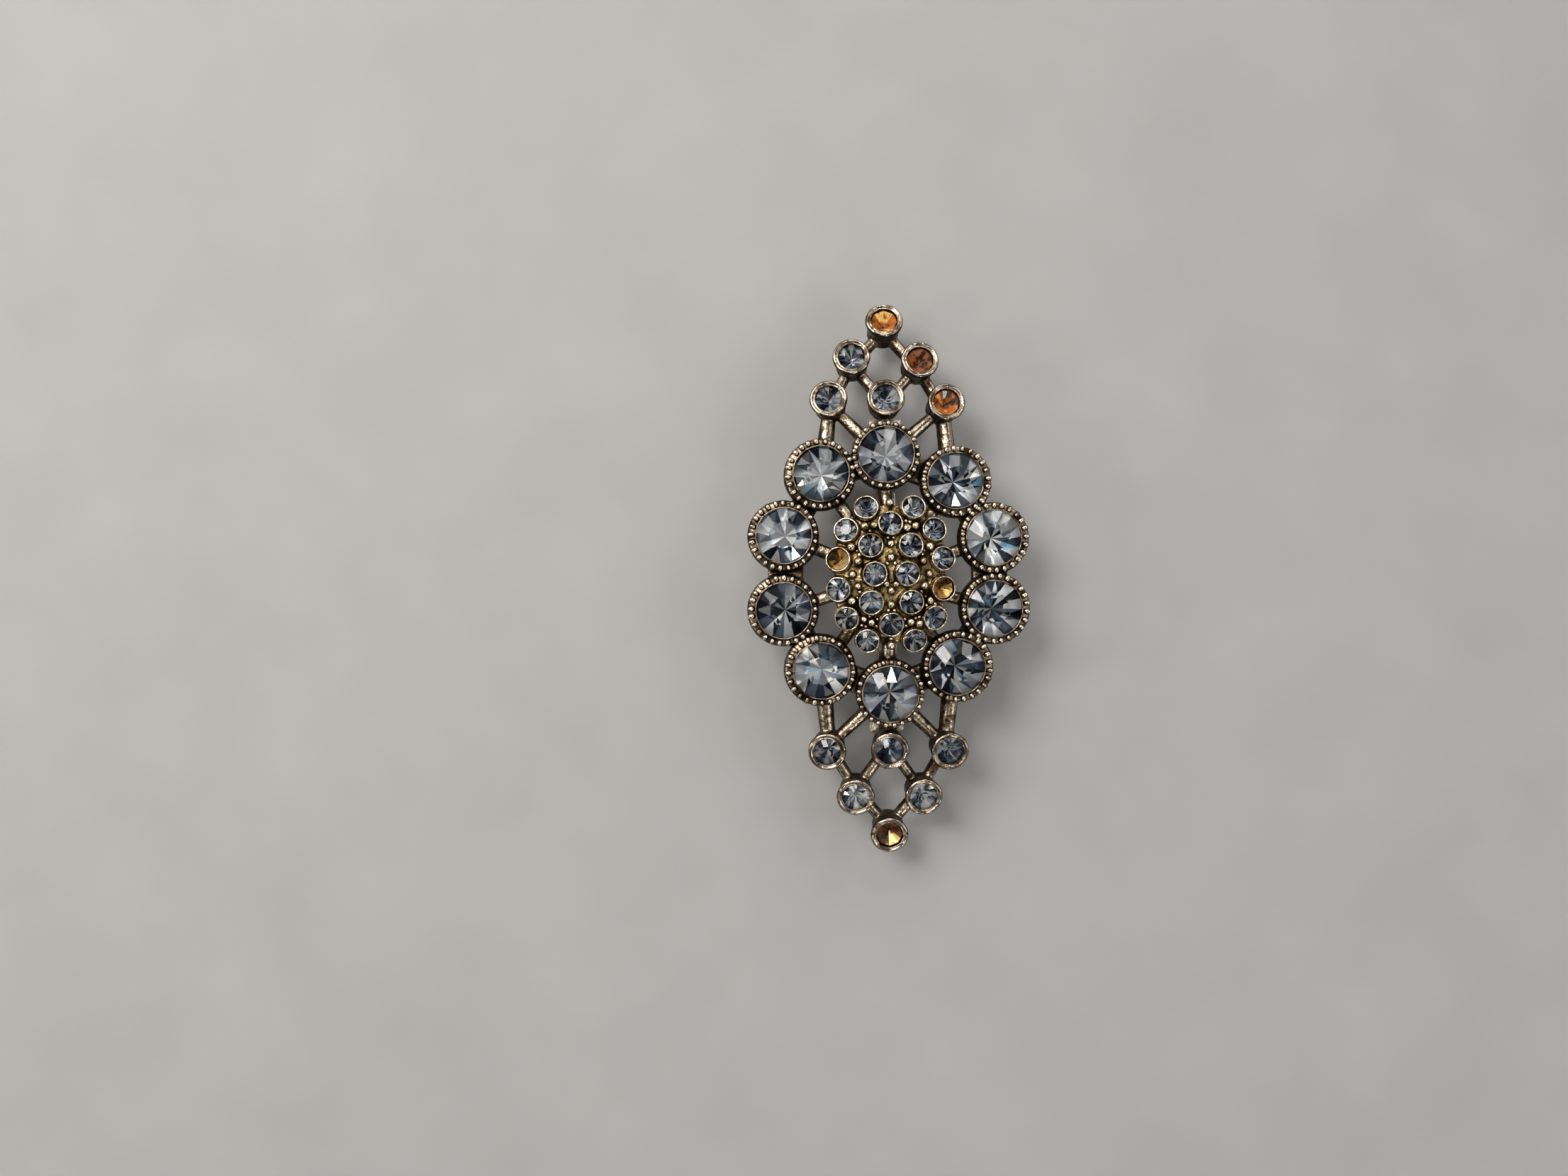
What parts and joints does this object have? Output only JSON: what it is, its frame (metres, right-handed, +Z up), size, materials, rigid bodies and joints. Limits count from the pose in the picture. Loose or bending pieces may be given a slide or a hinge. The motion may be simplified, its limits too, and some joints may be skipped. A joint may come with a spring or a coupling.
{
  "type": "rhinestone hair clip",
  "caption": "Oblong openwork hair clip set with round clear stones around a raised stone cluster, on a narrow snap barrette clasp.",
  "frame": {"origin": "under the middle of the clip, level with the lowest face of the clasp arm, with the clasp shut", "axes": "+Z up through the stones, +Y along the clip towards its hinge end, +X across the clip"},
  "size_m": [0.0356, 0.0702, 0.0134],
  "materials": {
    "casting": "pale antique gold plating over cast metal, tarnished dark brown in the recesses, polished on the rims",
    "cluster_casting": "warmer yellow gold plating with dark pits between the settings",
    "crystal": "clear faceted glass with a mirror-foiled pointed back",
    "amber_foil": "orange-brown lacquer on thin faceted foil, with gold glints and dark spots",
    "gold_foil": "thin faceted gold foil",
    "clasp_steel": "plated stamped steel, slightly dulled and worn on the edges",
    "spring_steel": "bright spring steel"
  },
  "bodies": {
    "ornament": {"openwork_frame": "casting", "cluster_dome": "cluster_casting", "large_stone_01": "crystal", "large_stone_02": "crystal", "large_stone_03": "crystal", "large_stone_04": "crystal", "large_stone_05": "crystal", "large_stone_06": "crystal", "large_stone_07": "crystal", "large_stone_08": "crystal", "large_stone_09": "crystal", "large_stone_10": "crystal", "small_stone_01": "crystal", "small_stone_02": "crystal", "small_stone_03": "crystal", "small_stone_04": "crystal", "small_stone_05": "crystal", "small_stone_06": "crystal", "small_stone_07": "crystal", "small_stone_08": "crystal", "foil_cup_01": "amber_foil", "foil_cup_02": "amber_foil", "foil_cup_03": "amber_foil", "foil_cup_04": "amber_foil", "cluster_stone_01": "crystal", "cluster_stone_02": "crystal", "cluster_stone_03": "crystal", "cluster_stone_04": "crystal", "cluster_stone_05": "crystal", "cluster_stone_06": "crystal", "cluster_stone_07": "crystal", "cluster_stone_08": "crystal", "cluster_stone_09": "crystal", "cluster_stone_10": "crystal", "cluster_stone_11": "crystal", "cluster_stone_12": "crystal", "cluster_stone_13": "crystal", "cluster_stone_14": "crystal", "cluster_stone_15": "crystal", "cluster_stone_16": "crystal", "cluster_stone_17": "crystal", "cluster_stone_18": "crystal", "cluster_foil_01": "gold_foil", "cluster_foil_02": "gold_foil", "clasp_base": "clasp_steel", "hinge_pin": "clasp_steel", "catch_plate": "clasp_steel", "catch_rivet": "clasp_steel"},
    "arm": {"clasp_arm": "clasp_steel"},
    "bow": {"tension_bow": "spring_steel"},
    "prong_left": {"catch_prong_left": "spring_steel"},
    "prong_right": {"catch_prong_right": "spring_steel"}
  },
  "joints": [
    {"name": "arm_hinge", "type": "hinge", "parent": "ornament", "child": "arm", "pos_m": [0, 0.0186, 0.00095], "axis": [1, 0, 0], "range_deg": [0, 80]},
    {"name": "bow_hinge", "type": "hinge", "parent": "ornament", "child": "bow", "pos_m": [0, 0.0159, 0.0052], "axis": [1, 0, 0], "range_deg": [0, 20]},
    {"name": "squeeze_left", "type": "hinge", "parent": "ornament", "child": "prong_left", "pos_m": [-0.0011, -0.018, 0.00485], "axis": [0, -1, 0], "range_deg": [0, 6], "stiffness_Nm_per_rad": 0.005},
    {"name": "squeeze_right", "type": "hinge", "parent": "ornament", "child": "prong_right", "pos_m": [0.0011, -0.018, 0.00485], "axis": [0, 1, 0], "range_deg": [0, 6], "stiffness_Nm_per_rad": 0.005}
  ],
  "couplings": [
    {"joint": "bow_hinge", "follows": "arm_hinge", "ratio": 0.25}
  ]
}
